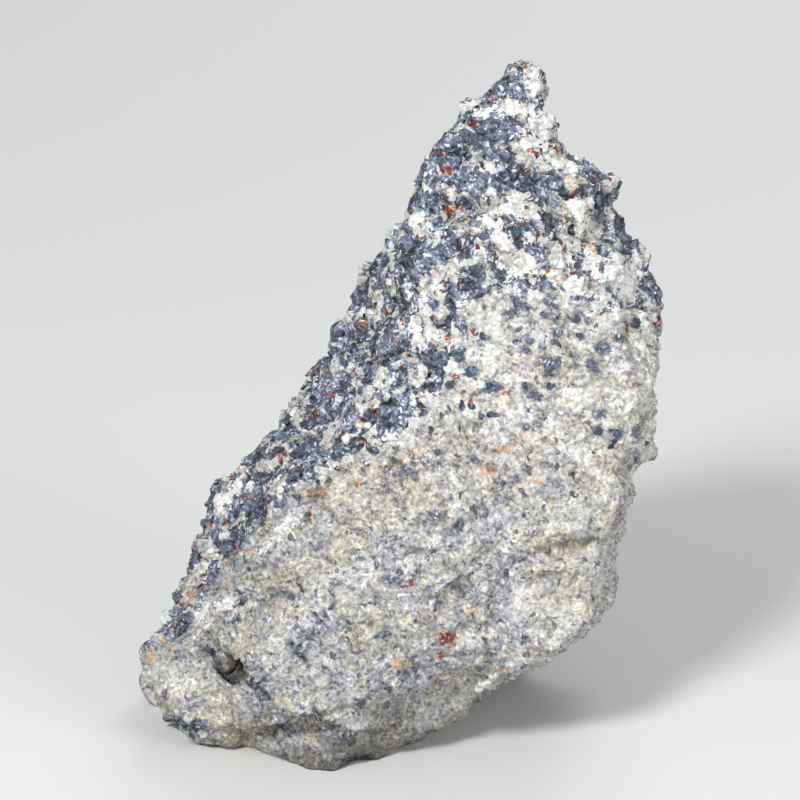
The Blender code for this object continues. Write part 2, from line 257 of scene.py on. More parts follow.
BLUE_PATCHES = [
    (13.9, 83.7, 1.7, 1.1, -30), (11.3, 81.3, 0.9, 1.3, 20), (1, 42.3, 2.9, 0.9, 5),
    (2.3, 41.4, 0.6, 0.5, 0), (10.6, 43.8, 0.8, 1, 0), (5, 35.9, 1.7, 1, 25),
    (7.7, 34, 0.8, 0.8, 0), (8.4, 35.3, 0.6, 1, 0), (2.4, 31.1, 0.4, 1.1, -15),
    (-1.1, 32.9, 1, 0.5, 15), (-6.7, 31, 0.5, 0.7, 0), (-5.8, 29.9, 1, 0.5, 10),
    (-1.3, 27.2, 2, 0.8, -8), (-24, 29.2, 1.1, 0.9, 40), (-27.1, 26.7, 1.4, 1, 20),
    (-16.9, 25.2, 0.9, 0.9, 0), (-14.9, 24.6, 1.7, 0.7, -10), (11.4, 14.3, 0.7, 0.8, 0),
    (10.4, 18.8, 0.5, 0.5, 0), (5.9, 20.6, 0.4, 0.4, 0), (14.3, 15.3, 0.8, 0.4, 0),
    (-5.4, 9.4, 0.8, 0.7, 0), (-2.1, 8.7, 0.9, 0.6, 0), (-8.9, 26.3, 1.3, 0.5, 25),
]
RED_PATCHES = [
    (6, 88.2, 0.7, 0.4, 20), (7, 85.7, 1.1, 0.7, 0), (6.7, 83.7, 0.4, 0.4, 0),
    (6.7, 80.1, 0.8, 1.1, -20), (8.9, 80.4, 0.4, 0.6, 0), (5.7, 79.4, 0.4, 0.4, 0),
    (7.6, 77.5, 0.4, 0.4, 0), (2.4, 78.4, 0.4, 0.4, 0), (10.2, 76.8, 0.4, 0.4, 0),
    (21.7, 89.3, 0.5, 0.5, 0), (10.3, 92.7, 0.7, 0.4, 0), (13, 96.9, 0.9, 0.3, 35),
    (25.1, 82.2, 0.8, 0.6, 0), (23.9, 78.6, 1.1, 0.3, -25), (16.5, 75.9, 0.7, 0.3, -50),
    (17.7, 77.8, 0.4, 0.3, 0), (20.2, 76.7, 0.4, 0.4, 0), (24.1, 74.7, 0.4, 0.4, 0),
    (29.2, 71.9, 0.6, 0.3, -60), (27.2, 70.5, 0.6, 0.3, -40), (24.1, 70.7, 0.6, 0.3, 45),
    (20.6, 69.6, 0.5, 0.3, -40), (32.6, 73.6, 0.3, 1.4, 0), (-4.1, 59, 1.1, 0.9, 0),
    (-10.6, 53.6, 0.6, 0.5, 0), (-4, 50.7, 0.6, 0.5, 0), (-5.4, 49.9, 0.9, 0.5, 0),
    (-5.2, 46.7, 0.7, 0.7, 0), (-8.7, 48.2, 0.6, 0.6, 0), (8.1, 55.9, 0.7, 0.5, 0),
    (10.9, 55.4, 0.6, 0.3, -30), (10.4, 62.6, 0.7, 0.4, -50), (9, 53.7, 0.4, 0.4, 0),
    (10.2, 52.4, 0.4, 0.4, 0), (14.5, 51.9, 0.3, 0.3, 0), (15.1, 53.5, 0.6, 0.4, 0),
    (-1, 60.6, 0.5, 1, -30), (-12.7, 50.6, 1.1, 0.5, 15), (-14, 47.1, 1.1, 0.3, 15),
    (-16.7, 44.6, 0.5, 0.5, 0), (-17.3, 43.6, 0.4, 0.9, 0), (-18.4, 38.5, 1.1, 0.4, 30),
    (0.3, 25.9, 1.3, 0.3, 12), (1.7, 26.6, 0.3, 0.7, 20), (6.7, 18.7, 1.4, 1.1, -20),
    (5.9, 16.1, 0.5, 0.6, 0),
]
RUST_PATCHES = [
    (22.9, 88.3, 1, 0.5, -60), (27.6, 74.9, 1.8, 0.4, -55), (-11.8, 39.5, 2, 1.3, 20),
    (-12.4, 36.2, 0.4, 0.9, -20), (-5.9, 40.7, 0.9, 0.7, 0), (-16, 37.4, 0.9, 0.3, 50),
    (-18.6, 35.3, 0.9, 0.4, 40), (-20.6, 33.6, 0.9, 0.4, 50), (-24.2, 30.7, 1.1, 0.4, 50),
    (-25.3, 29.1, 0.9, 0.4, 55), (-21.5, 30.7, 0.4, 0.9, 0), (-30.4, 24, 2.2, 1.1, 40),
    (-33.3, 19.7, 1.6, 0.7, 40), (-34.9, 17.6, 0.9, 0.8, 0), (-29.7, 20.1, 0.5, 1.1, -15),
    (-33.6, 16.9, 1.3, 0.5, 0), (-36.6, 14.8, 0.8, 1.6, 0), (-25.9, 14, 0.5, 0.7, 0),
    (-0.2, 15.1, 1.4, 1.1, 0), (10.5, 22.8, 0.6, 0.7, 0), (6.2, 24.8, 0.7, 0.6, 0),
    (14.8, 13.9, 1, 0.4, 15), (14.6, 45.6, 1.9, 0.9, 0), (12.8, 42.6, 1.7, 1.1, 0),
    (19.6, 41, 1.3, 0.9, 0), (-25, 25.7, 2.2, 0.4, 34), (-35.7, 10.5, 2.4, 0.4, -61),
]
# Dark patches are franklinite, except a few at the lower left: those at (-30, 6.1) and (-17.1, 6.1) are
# painted shadow under the edge, and those at (-24.3, 13.7) in the pit and at (-27.2, 16.6), (-21.3, 12.1)
# and (-14, 16.6) along cracks are painted shade
DARK_PATCHES = [
    (16.2, 98.4, 1.3, 1.4, 0), (19.7, 95.9, 0.6, 0.6, 0), (12.8, 90.3, 1.9, 2.1, 20),
    (14.3, 87.8, 1.1, 1.7, 0), (7.9, 89.7, 2, 1.1, 20), (4.3, 85.7, 1.4, 1.7, 30),
    (15.7, 85.7, 0.5, 0.5, 0), (17.5, 83.3, 0.9, 0.4, 0), (20, 81.9, 1.6, 1.3, 0),
    (21.9, 78.1, 2, 0.6, -5), (28.5, 83, 1.2, 1.4, 0), (30.3, 82, 1.1, 1.4, 0),
    (28.6, 79, 1.1, 0.7, -30), (29.9, 75.6, 1, 1.1, 0), (33.1, 75, 1.6, 2, -20),
    (20.3, 73.6, 1.9, 1.1, -10), (13.9, 74.9, 1.3, 1, 0), (19, 70.9, 2.3, 0.2, -40),
    (23.1, 68.7, 1.4, 0.2, -45), (29.9, 68.5, 0.9, 0.9, 0), (34.3, 66.9, 0.9, 1.1, -20),
    (-6.7, 50.4, 1.3, 1.4, 0), (-8.7, 46.6, 1.1, 1.1, 0), (-6.3, 45.8, 1.1, 1, 0),
    (-4.7, 43.5, 0.4, 0.4, 0), (-10, 52.9, 1.4, 1.4, 0), (8.2, 59.4, 1.3, 1.3, 0),
    (10.1, 56.6, 1.1, 0.9, 0), (9, 63, 1.1, 0.7, -15), (13.1, 54.6, 1.6, 0.9, 0),
    (5.7, 56.6, 0.9, 1.4, 0), (-0.3, 55.7, 1.7, 1.3, 30), (-22.2, 37.4, 2, 1.6, 0),
    (-19.9, 37.4, 0.9, 1.1, 0), (-24, 35.4, 0.9, 1.1, 0), (-12.2, 43.3, 1.7, 0.3, -8),
    (-27.5, 28, 1.1, 0.9, 20), (-25, 31.9, 1.1, 0.6, 30), (-22.4, 24, 1.4, 0.5, 42),
    (-24.3, 20.8, 1.3, 0.5, 10), (-24.3, 13.7, 1, 0.8, -30), (-27.2, 16.6, 1.6, 0.5, -40),
    (-21.3, 12.1, 1.3, 0.4, -38), (-14, 16.6, 1.4, 0.5, -25), (-30, 6.1, 2.6, 1, -15),
    (-17.1, 6.1, 1.3, 0.8, 0), (10.4, 24.1, 0.7, 0.4, 0), (-2.2, 19.3, 1.4, 0.5, 10),
    (5.4, 45.2, 0.8, 0.5, 0), (3.4, 43.9, 0.6, 0.3, 0),
]
# A patch reaches this far into the depth, in mm, and this many times its half length besides
PATCH_REACH = 0.8
PATCH_SLOPE = 1.7
# Skin within this distance of a place, and this near the foremost of it, is what the eye meets there
SEEN_WITHIN = 0.5
SEEN_DEPTH = 2.0

# Round grains standing in the fine pale matrix, in mm: (across, up, radius)
ROUND_GRAINS = [
    (10.1, 69.6, 0.9), (16.8, 66.9, 0.7), (18.1, 65.8, 0.7), (15.9, 65, 1.1), (21.5, 66.7, 1),
    (22.3, 66.1, 0.7), (20.6, 65, 0.7), (22.3, 64.3, 0.6), (25.4, 64.3, 0.9), (26.9, 64.3, 0.4),
    (22.5, 62.2, 0.8), (22, 60.9, 0.6), (20.5, 60, 0.7), (18.3, 59.6, 0.6), (18.4, 61.2, 0.7),
    (20.9, 58.1, 0.9), (22.4, 58, 0.8), (21.6, 56.7, 0.9), (27.2, 57.9, 1), (29.2, 60.1, 0.9),
    (25.9, 61.7, 0.6), (31.6, 61.6, 0.7), (9, 63, 0.7), (12.2, 61.6, 0.6), (11.5, 60.6, 0.7),
    (8.3, 59.3, 0.9), (10, 56.7, 0.8), (12.6, 54.7, 0.7), (13.9, 54.6, 0.7), (17.9, 54.3, 0.8),
    (19, 53.4, 0.9), (19.9, 52.8, 0.6), (5.1, 66.4, 0.6), (18, 49, 0.6), (28.4, 47.9, 1),
    (31, 47.9, 0.8), (33.7, 47.9, 0.9), (28.3, 50.6, 0.8), (34.1, 44.1, 0.6),
]
# Size of the blue patch around a round grain, as a share of the grain
BED_SIZE = 1.3
# Soft areas where willemite gains (above 0) or loses ground: the same, and by how much
LEANINGS = [
    (20.7, 72, 8.9, 3.2, -4, 0.36), (8, 70, 4, 2.1, 0, 0.34), (-2, 67.7, 2.5, 3, 20, 0.15),
    (1.5, 71.5, 2.3, 2.3, 0, -0.22), (3.8, 54.2, 3, 2, 0, 0.24), (35, 60, 2.4, 6, 0, 0.12),
    (13.6, 91, 2.6, 3.4, 20, -0.12), (18.5, 91.5, 2.6, 3, 0, 0.14), (32, 68.6, 3.4, 4.6, 0, 0.32),
    (7.4, 91.4, 4.6, 3.7, 20, -0.14), (0, 56.6, 5.7, 4.3, 40, -0.05), (-21.4, 38.3, 4.3, 5.7, 0, -0.04),
    (10, 80.5, 5.5, 5, 0, -0.06), (11.5, 74, 2.3, 1.7, 0, -0.18), (28.5, 80.6, 2.4, 2.4, 0, 0.1),
]
# Soft areas lighter (above 0) or darker than the rest: the same, and by how much. They are partly the
# stone's own tone and partly painted light and shade, such as the painted shadow under the ledge at (5.7,
# 23.7) and the painted shade on the underside and around the pit at the lower left
PAINTED_LIGHT_AND_TONE = [
    (-21, 28, 9, 5, 45, -0.06), (-5, 14.5, 12, 4.5, 5, -0.05),
    (-30, 15.2, 3, 2.2, 0, -0.16), (-28.6, 21.4, 2, 1.6, 0, 0.08), (-14.9, 27.4, 3, 2, 0, -0.06),
    (-35.8, 14.2, 1.4, 1.8, 0, 0.12), (-0.4, 10, 3, 1.2, 0, 0.10), (-26.4, 16.1, 4.3, 2.3, -20, -0.13),
    (-14.9, 26.6, 4.3, 1.3, 30, -0.10), (5.7, 23.7, 4.9, 1.3, 25, -0.15), (-2.1, 18.3, 4.3, 1.7, 5, -0.08),
    (-19.7, 11.1, 4.3, 1.7, -20, -0.10), (20.7, 29.7, 7.9, 5.7, 10, 0.04), (19.4, 44.6, 4, 2.4, 10, 0.08),
    (20.7, 72, 8.9, 3, -4, 0.08), (32.4, 68.8, 2.4, 3, 0, 0.08), (1.4, 47.1, 2.6, 2, 0, -0.08),
    (28, 24.6, 2, 2.9, 0, 0.05), (20.3, 50.6, 4.3, 2.3, 0, 0.06), (10, 38.6, 6, 1.7, 0, 0.05),
    (20, 14.9, 6.3, 1.7, 25, 0.07), (10, 10.6, 5.7, 1.3, 14, 0.12), (-29.1, 20.9, 1.7, 2.3, 0, 0.12),
    (25.7, 31.9, 2.9, 0.7, 5, -0.12), (9.6, 26, 3.1, 0.7, 35, -0.14), (-18.6, 4.7, 8.6, 0.9, 10, -0.20),
    (-14.3, 42.6, 6, 9, 40, -0.08), (10, 80.5, 5.5, 5.5, 0, -0.05), (-4.5, 64, 4.5, 5, 0, -0.05),
    (-8, 5.5, 7, 2.4, 0, -0.12), (-0.3, 60.9, 2, 1.6, 0, 0.08),
    (-0.3, 56.6, 2.4, 2, 0, -0.09), (-20.9, 13.7, 2, 1.6, 0, -0.08), (4.9, 53.1, 2, 1.5, 0, 0.08),
    (5, 88, 2, 2, 0, 0.08), (3.1, 80.6, 1.8, 1.8, 0, 0.08), (33.1, 67.7, 2, 2.4, 0, 0.06),
]
# Ledges, lumps and hollows, in mm: (across, up, half length, half width, turn in degrees, rise)
RELIEF = [
    (-24.5, 14, 2, 1.3, -35, -2.6), (-19.9, 10.9, 4.4, 0.5, -47, -0.9),
    (-13.8, 16.6, 2.6, 0.7, -35, -0.9), (-28.1, 17, 2.2, 0.5, -38, -0.8), (-11.5, 7.6, 6, 0.6, 16, -0.7),
    (24.5, 31.8, 3.6, 0.8, 10, -0.8), (21.5, 29.8, 2.4, 0.7, 25, -0.5), (7.5, 25.6, 4.6, 0.8, 32, -0.7),
    (4, 21.8, 2.8, 0.7, 35, -0.5), (14.5, 20.8, 2.6, 0.6, 20, -0.4), (-7.5, 35, 2.6, 0.6, 10, -0.5),
    (2.6, 30.8, 2.2, 0.6, -20, -0.4), (-3.6, 22, 3.2, 0.7, 20, 0.5), (12.5, 27.8, 3, 0.9, 30, 0.5),
    (19, 25, 3.4, 1, 25, 0.5), (-11, 21, 3.2, 1, 30, 0.5), (0.6, 12, 3, 0.8, 10, 0.4),
    (-18, 17.5, 3, 1.2, 30, 0.6), (9, 12.6, 3, 0.7, 25, -0.5), (15.4, 86, 0.8, 0.8, 0, -0.4),
    (10.4, 61.4, 3.6, 0.5, 10, -0.4), (25, 74.6, 2.6, 0.5, -35, -0.5), (6.3, 73, 0.5, 2.6, 5, -0.5),
]


def ellipse_distance(display, patch):
    """Distance from a patch's middle at every place, as a share of its half length and half width."""
    across, up, half_length, half_width, turn = patch
    cosine, sine = math.cos(math.radians(turn)), math.sin(math.radians(turn))
    right, above = display[:, 0] - across, display[:, 1] - up
    along, beside = right * cosine + above * sine, above * cosine - right * sine
    return np.hypot(along / half_length, beside / half_width)


def front_depth(display, across, up):
    """Depth of the skin where the eye meets it at this place, in mm."""
    near = display[np.hypot(display[:, 0] - across, display[:, 1] - up) < SEEN_WITHIN, 2]
    return near[near < near.min() + SEEN_DEPTH].mean() if len(near) else 0.0


def patch_field(display, patches):
    """1 in the middle of each patch, 0 on its outline and less beyond. Like a grain, it has a depth."""
    field = np.full(len(display), -1.0)
    for patch in patches:
        across, up, half_length, half_width, _ = patch
        half_depth = PATCH_REACH + PATCH_SLOPE * max(half_length, half_width)
        inward = np.abs(display[:, 2] - front_depth(display, across, up)) / half_depth
        field = np.maximum(field, 1 - np.maximum(ellipse_distance(display, patch), inward))
    return field


def ellipse_field(display, patches):
    """The same for patches seen from the eye alone, however deep they lie."""
    field = np.full(len(display), -1.0)
    for patch in patches:
        field = np.maximum(field, 1 - ellipse_distance(display, patch))
    return field


def soft_areas(display, areas):
    """The sum of soft areas at every place."""
    total = np.zeros(len(display))
    for *patch, amount in areas:
        total += amount * (1 - smooth_step(*AREA_FADE, ellipse_distance(display, patch)))
    return total


def height_over(line, display):
    """Height of every place over the line, in mm."""
    across, up = np.array(line, float).T
    return display[:, 1] - np.interp(display[:, 0], across, up)


def pale_tip(display):
    """1 at the lower left tip, where the fine rock reaches further back, and 0 away from it."""
    across, up, _ = display.T
    left = 1 - smooth_step(*TIP_ACROSS, across)
    return left * smooth_step(*TIP_FOOT, up) * (1 - smooth_step(*TIP_TOP, up))


def behind_fine_rock(display):
    """How far every place lies behind the wavy back of the fine rock, in mm."""
    across, up, depth = display.T
    behind = depth - COARSE_DEPTH - COARSE_SLANT * (across - COARSE_ACROSS)
    behind = behind + 3 * np.sin(up / 7) + 2 * np.sin(up / 3.1 + across / 5)
    return behind - TIP_REACH * pale_tip(display)


def skin_fields(display, facing):
    """The smooth fields by name, one value a vertex."""
    across, up, depth = display.T
    front = smooth_step(*FRONT_FACING, -facing[:, 2]) * (1 - smooth_step(*FRONT_DEPTH, depth))
    # The coarse rock lies above its edge, and behind the fine rock
    over_edge = height_over(COARSE_EDGE, display) * EDGE_SHARE
    back = np.minimum(behind_fine_rock(display), over_edge * BACK_SLOPE + BACK_REACH)
    fields = {
        "coarse": np.clip(np.maximum(over_edge, back), -FIELD_LIMIT, FIELD_LIMIT),
        "middle": np.clip(height_over(MIDDLE_EDGE, display), -FIELD_LIMIT, FIELD_LIMIT),
    }
    # Each round grain stands in a ragged blue patch of its own
    beds = [(*place, radius * BED_SIZE, radius * BED_SIZE, 0) for *place, radius in ROUND_GRAINS]
    marks = {
        "pale": PALE_PATCHES, "blue": BLUE_PATCHES + beds, "red": RED_PATCHES, "rust": RUST_PATCHES,
        "dark": DARK_PATCHES,
    }
    for name, patches in marks.items():
        fields[name] = patch_field(display, patches) * front - (1 - front)
    for name, areas in (("rise", RELIEF), ("lean", LEANINGS), ("shade", PAINTED_LIGHT_AND_TONE)):
        fields[name] = soft_areas(display, areas) * front
    # Painted shade on the underside, kept in the field named low
    painted_underside_shade = 1 - smooth_step(*PAINTED_SHADE_UP, up - PAINTED_SHADE_SLANT * across)
    fields["low"] = painted_underside_shade * (1 - PAINTED_SHADE_LOSS * smooth_step(*PAINTED_SHADE_ENDS, across)) * front
    return fields


def store(mesh, name, values, domain="POINT"):
    """Keeps one number or one place a vertex or face as an attribute of the mesh."""
    kind = "FLOAT_VECTOR" if values.ndim == 2 else "FLOAT"
    attribute = mesh.attributes.new(name, kind, domain)
    key = "vector" if values.ndim == 2 else "value"
    attribute.data.foreach_set(key, values.astype(np.float32).ravel())


def vertex_values(mesh, key):
    values = np.empty(len(mesh.vertices) * 3, np.float32)
    mesh.vertices.foreach_get(key, values)
    return values.reshape(-1, 3).astype(float)


def evaluated_copy(holder, name):
    """The holder's mesh with its modifiers applied."""
    graph = bpy.context.evaluated_depsgraph_get()
    mesh = bpy.data.meshes.new_from_object(holder.evaluated_get(graph))
    mesh.name = name
    return mesh


def new_object(name, mesh):
    item = bpy.data.objects.new(name, mesh)
    bpy.context.scene.collection.objects.link(item)
    return item


# Relief of the grains in each kind of rock: (slope of their facets, step between them in mm)
COARSE_RELIEF = {"coarse": (0.65, 0.45), "medium": (0.42, 0.22), "small": (0.28, 0.06)}
FINE_RELIEF = {"coarse": (0.25, 0.18), "medium": (0.4, 0.16), "small": (0.5, 0.14)}
# How much the whole coarse rock is raised, in mm
COARSE_RISE = -0.15
# Relief turns from fine to coarse between these values of the coarse field
RELIEF_BLEND = (-2.0, 2.0)
# Swells of the whole skin: (width in mm, detail, roughness, rise in mm)
SWELLS = [(7.0, 4.0, 0.6, 1.7), (1.1, 2.0, 0.6, 0.35)]
# How far a patch of each kind stands out of the skin, in mm, and between which values of its field it rises
PATCH_RISE = {"pale": 0.2, "dark": 0.3, "red": -0.2, "blue": 0.15}
PATCH_EDGE = (-0.15, 0.35)
# The relief fades in between these heights over the ground, in mm, so that the foot stays flat
FREE_HEIGHT = (0.05, 1.2)
# Skin that faces away from the display side is thinned out more, in steps from the least weight to 1 as it
# turns from the first of these to the second
HIDDEN_FACING = (-0.3, 0.3)
HIDDEN_STEPS = 5
LEAST_WEIGHT = 0.1
HIDDEN_FACTOR = 0.6


def displacement_tree():
    """Moves each point of the skin along its normal by the height of the grains there."""
    tree = bpy.data.node_groups.new("grain_relief", "GeometryNodeTree")
    tree.interface.new_socket("Geometry", in_out="INPUT", socket_type="NodeSocketGeometry")
    tree.interface.new_socket("Geometry", in_out="OUTPUT", socket_type="NodeSocketGeometry")
    sheet = Sheet(tree)

    def field(name, kind="FLOAT"):
        node = sheet.node("GeometryNodeInputNamedAttribute", {"Name": name}, data_type=kind)
        return node.outputs["Attribute"]

    place = field("place", "FLOAT_VECTOR")
    grains = grain_pattern(sheet, place, field("lean"))

    def relief(name, slope, step):
        cell = grains[name]
        offset = sheet.math("SUBTRACT", sheet.parts(cell["colour"])[0], 0.5)
        return sheet.add(sheet.facet(grains["bent"], cell, slope), sheet.times(offset, step))

    coarse = sheet.add(*(relief(name, *sizes) for name, sizes in COARSE_RELIEF.items()), COARSE_RISE)
    fine = sheet.add(*(relief(name, *sizes) for name, sizes in FINE_RELIEF.items()))
    height = sheet.mix(sheet.step(*RELIEF_BLEND, field("coarse")), fine, coarse)
    swells = [sheet.times(sheet.ripple(place, *sizes), rise) for *sizes, rise in SWELLS]
    height = sheet.add(height, *swells, field("rise"))
    for name, rise in PATCH_RISE.items():
        height = sheet.add(height, sheet.step(*PATCH_EDGE, field(name), 0.0, rise))
    height = sheet.times(height, sheet.times(field("free"), MM))
    normal = sheet.node("GeometryNodeInputNormal").outputs[0]
    given = sheet.node("NodeGroupInput").outputs[0]
    # The crystals are sown later by how much the rock here tends to willemite
    inputs = {"Geometry": given, "Name": "pale_share", "Value": grains["pale_share"]}
    kept = sheet.node("GeometryNodeStoreNamedAttribute", inputs, data_type="FLOAT", domain="POINT")
    inputs = {"Geometry": kept.outputs[0], "Offset": sheet.scaled(normal, height)}
    moved = sheet.node("GeometryNodeSetPosition", inputs)
    sheet.node("NodeGroupOutput", {0: moved.outputs[0]})
    return tree


def smoothed_skin(lump):
    """The lump's solid as an even skin of small squares, its creases softened."""
    holder = new_object("skin_holder", lump.data.copy())
    remesh = holder.modifiers.new("Remesh", "REMESH")
    remesh.mode = "VOXEL"
    remesh.voxel_size = SKIN_VOXEL * MM
    smooth = holder.modifiers.new("Smooth", "SMOOTH")
    smooth.factor = 0.5
    smooth.iterations = SMOOTHING_PASSES
    mesh = evaluated_copy(holder, "ore_skin")
    bpy.data.objects.remove(holder)
    return mesh


def settle_foot(mesh):
    """Brings every point that sank below the ground back up to it."""
    points = vertex_values(mesh, "co")
    points[:, 2] = np.maximum(points[:, 2], 0)
    mesh.vertices.foreach_set("co", points.astype(np.float32).ravel())
    mesh.update()


def add_hidden_group(holder, facing):
    """Weighs each vertex by how far it faces away from the display side."""
    group = holder.vertex_groups.new(name="hidden")
    last = HIDDEN_STEPS - 1
    rank = np.clip(np.round(smooth_step(*HIDDEN_FACING, facing[:, 2]) * last), 0, last).astype(int)
    for step in range(HIDDEN_STEPS):
        weight = LEAST_WEIGHT + (1 - LEAST_WEIGHT) * step / last
        group.add(np.flatnonzero(rank == step).tolist(), weight, "REPLACE")


def ore_skin(lump):
    """The lump's whole skin: one closed mesh, with its grains as relief."""
    mesh = smoothed_skin(lump)
    display = to_display(vertex_values(mesh, "co"))
    facing = vertex_values(mesh, "normal") @ display_axes().T
    store(mesh, "place", display)
    for name, values in skin_fields(display, facing).items():
        store(mesh, name, values)
    height_over_ground = vertex_values(mesh, "co")[:, 2] / MM
    store(mesh, "free", smooth_step(*FREE_HEIGHT, height_over_ground))
    holder = new_object("relief_holder", mesh)
    add_hidden_group(holder, facing)
    relief = holder.modifiers.new("Relief", "NODES")
    relief.node_group = displacement_tree()
    decimate = holder.modifiers.new("Decimate", "DECIMATE")
    decimate.use_collapse_triangulate = True
    decimate.vertex_group = "hidden"
    decimate.vertex_group_factor = HIDDEN_FACTOR
    decimate.ratio = SKIN_TRIANGLES / (2 * len(mesh.polygons))
    skin_mesh = evaluated_copy(holder, "ore_skin")
    bpy.data.objects.remove(holder)
    settle_foot(skin_mesh)
    skin_mesh.shade_smooth()
    skin = new_object("ore_skin", skin_mesh)
    skin_mesh.materials.clear()
    skin_mesh.materials.append(ore_material())
    return skin


# Colours, from the darkest to the lightest grains of each kind: (position, colour)

FRANKLINITE = [
    (0.0, tone(25, 28, 36)), (0.3, tone(63, 69, 82)), (0.6, tone(105, 113, 132)),
    (0.85, tone(152, 160, 179)), (1.0, tone(222, 228, 238)),
]
WILLEMITE = [
    (0.0, tone(106, 104, 100)), (0.35, tone(174, 172, 167)), (0.65, tone(210, 208, 205)),
    (1.0, tone(243, 242, 241)),
]
GREEN_WILLEMITE = [(0.0, tone(108, 112, 102)), (0.5, tone(180, 183, 170)), (1.0, tone(233, 235, 224))]
FINE_ROCK = [
    (0.0, tone(68, 69, 75)), (0.22, tone(124, 123, 121)), (0.5, tone(172, 170, 164)),
    (0.78, tone(206, 205, 200)), (1.0, tone(241, 241, 238)),
]
CREAM_ROCK = [(0.0, tone(76, 67, 54)), (0.5, tone(170, 160, 138)), (1.0, tone(240, 233, 214))]
COOL_ROCK = [(0.0, tone(56, 60, 71)), (0.5, tone(151, 155, 165)), (1.0, tone(235, 238, 244))]
BLUE_GRAIN = [
    (0.0, tone(24, 28, 37)), (0.5, tone(74, 82, 102)), (0.85, tone(128, 138, 163)),
    (1.0, tone(216, 221, 233)),
]
ZINCITE = [
    (0.0, tone(44, 14, 20)), (0.45, tone(104, 38, 42)), (0.8, tone(182, 88, 62)),
    (1.0, tone(230, 174, 138)),
]
RUST = [(0.0, tone(104, 72, 46)), (0.5, tone(186, 142, 106)), (1.0, tone(234, 208, 180))]
# Painted shade for the underside, and painted shade for the cracks and hollows
UNDERSIDE_SHADE = tone(104, 102, 97)
HOLLOW_SHADE = tone(96, 84, 70)

# How far the grains of each size are tilted, so that some of them catch the light
TILTS = {"fine": 0.32, "small": 0.32, "medium": 0.35}
# Roughness of the finest grains, from the glossiest to the dullest
ROUGHNESS = (0.22, 0.6)
# Willemite is massive, without facets of its own, so it keeps only this share of the tilt
WILLEMITE_TILT = 0.55


